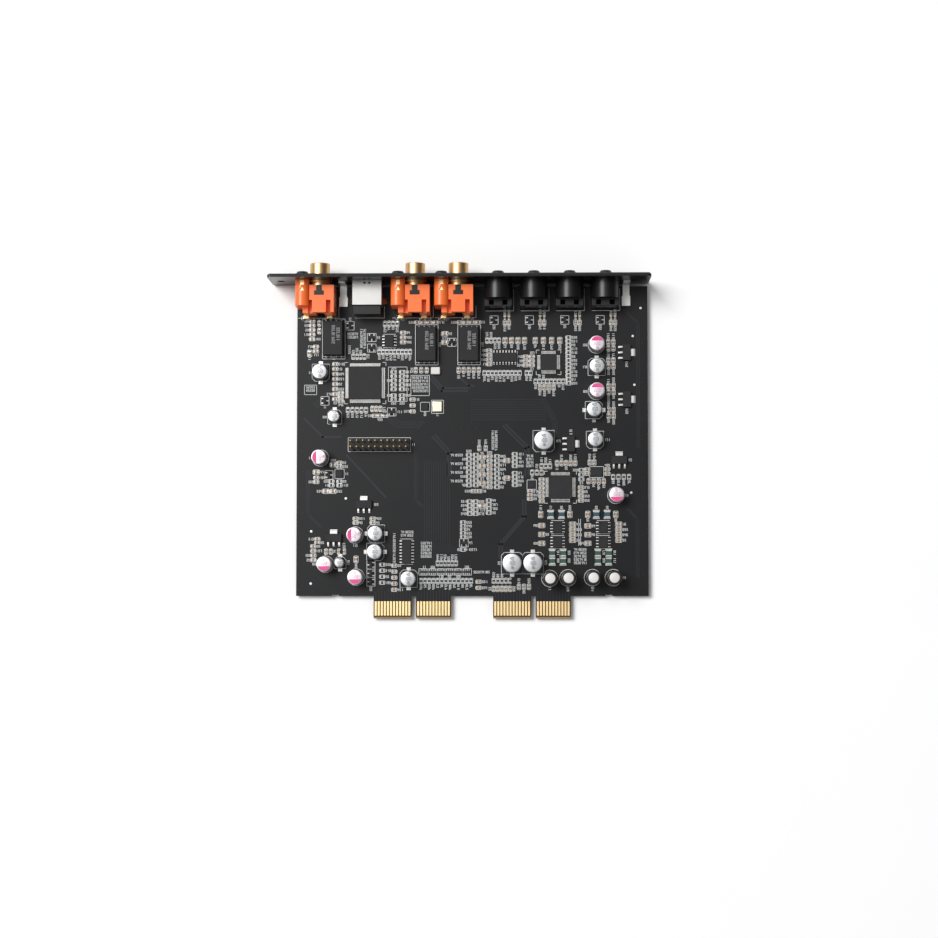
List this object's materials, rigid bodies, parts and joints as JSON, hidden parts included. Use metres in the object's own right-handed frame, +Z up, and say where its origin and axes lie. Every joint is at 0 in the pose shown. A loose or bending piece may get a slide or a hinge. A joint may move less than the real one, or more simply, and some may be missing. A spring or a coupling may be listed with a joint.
{
  "type": "audio DAC module",
  "caption": "Plug-in audio converter card: black circuit board with keyed gold edge tongues, and a rear panel carrying coaxial, USB and optical digital inputs.",
  "frame": {"origin": "middle of the board's front edge, between the two tongues, at the board's mid-plane", "axes": "+X along the rear panel, +Y from the edge tongues to the rear panel, +Z up from the component side"},
  "size_m": [0.1571, 0.1468, 0.024],
  "materials": {
    "solder_mask": "semi-gloss black solder mask over glass-fibre laminate",
    "gold_plate": "thin gold plating",
    "black_paint": "glossy black paint on sheet metal",
    "black_steel": "black-finished steel screw",
    "tinned_metal": "tin-plated, satin",
    "bright_shield": "bright nickel-plated sheet",
    "orange_moulding": "smooth orange moulding",
    "black_moulding": "black moulding, fine grain",
    "smoked_resin": "dark clear-cast resin",
    "can_metal": "drawn aluminium can",
    "marked_can_metal": "drawn aluminium can with a pink mark on its top",
    "dark_sleeve": "shrunk plastic sleeve, pale top",
    "chip_resin": "moulded chip resin, finely sparked",
    "transformer_resin": "black moulding, plain",
    "lid_metal": "seam-welded metal lid, pale and satin",
    "resistor_glaze": "dark glaze between tinned ends",
    "capacitor_ceramic": "fired tan ceramic between tinned ends",
    "film_green": "resin-dipped film chip, green"
  },
  "bodies": {
    "root": {"capacitor_bases": "black_moulding", "capacitor_leads": "tinned_metal", "capacitor_tabs": "tinned_metal", "chip_capacitors": "capacitor_ceramic", "chip_leads": "tinned_metal", "chip_resistors": "resistor_glaze", "clock_oscillator": "lid_metal", "coax_contact_1": "gold_plate", "coax_contact_2": "gold_plate", "coax_contact_3": "gold_plate", "coax_ground_legs": "gold_plate", "coax_housing_1": "orange_moulding", "coax_housing_2": "orange_moulding", "coax_housing_3": "orange_moulding", "coax_insulator_1": "black_moulding", "coax_insulator_2": "black_moulding", "coax_insulator_3": "black_moulding", "coax_lock_1": "black_moulding", "coax_lock_2": "black_moulding", "coax_lock_3": "black_moulding", "coax_screw_clips": "gold_plate", "coax_shell_1": "gold_plate", "coax_shell_2": "gold_plate", "coax_shell_3": "gold_plate", "converter_chip": "chip_resin", "edge_contacts_lower": "gold_plate", "edge_contacts_upper": "gold_plate", "eight_pin_chips": "chip_resin", "film_capacitors": "film_green", "ground_bracket_left": "tinned_metal", "ground_bracket_right": "tinned_metal", "header_pins": "gold_plate", "header_strip": "black_moulding", "interface_chip": "chip_resin", "leadless_chips": "chip_resin", "main_board": "solder_mask", "optical_housing_1": "black_moulding", "optical_housing_2": "black_moulding", "optical_housing_3": "black_moulding", "optical_housing_4": "black_moulding", "optical_leads": "tinned_metal", "optical_receiver_1": "smoked_resin", "optical_receiver_2": "smoked_resin", "optical_receiver_3": "smoked_resin", "optical_receiver_4": "smoked_resin", "panel_screws": "black_steel", "polymer_capacitors": "marked_can_metal", "processor_chip": "chip_resin", "pulse_transformers": "transformer_resin", "rear_panel": "black_paint", "regulator_leads": "tinned_metal", "regulators": "chip_resin", "resistor_arrays": "resistor_glaze", "silver_capacitors": "can_metal", "sixteen_pin_chips": "chip_resin", "sleeved_capacitors": "dark_sleeve", "transformer_leads": "tinned_metal", "usb_contacts": "gold_plate", "usb_insulator": "black_moulding", "usb_shield": "bright_shield"}
  },
  "joints": []
}
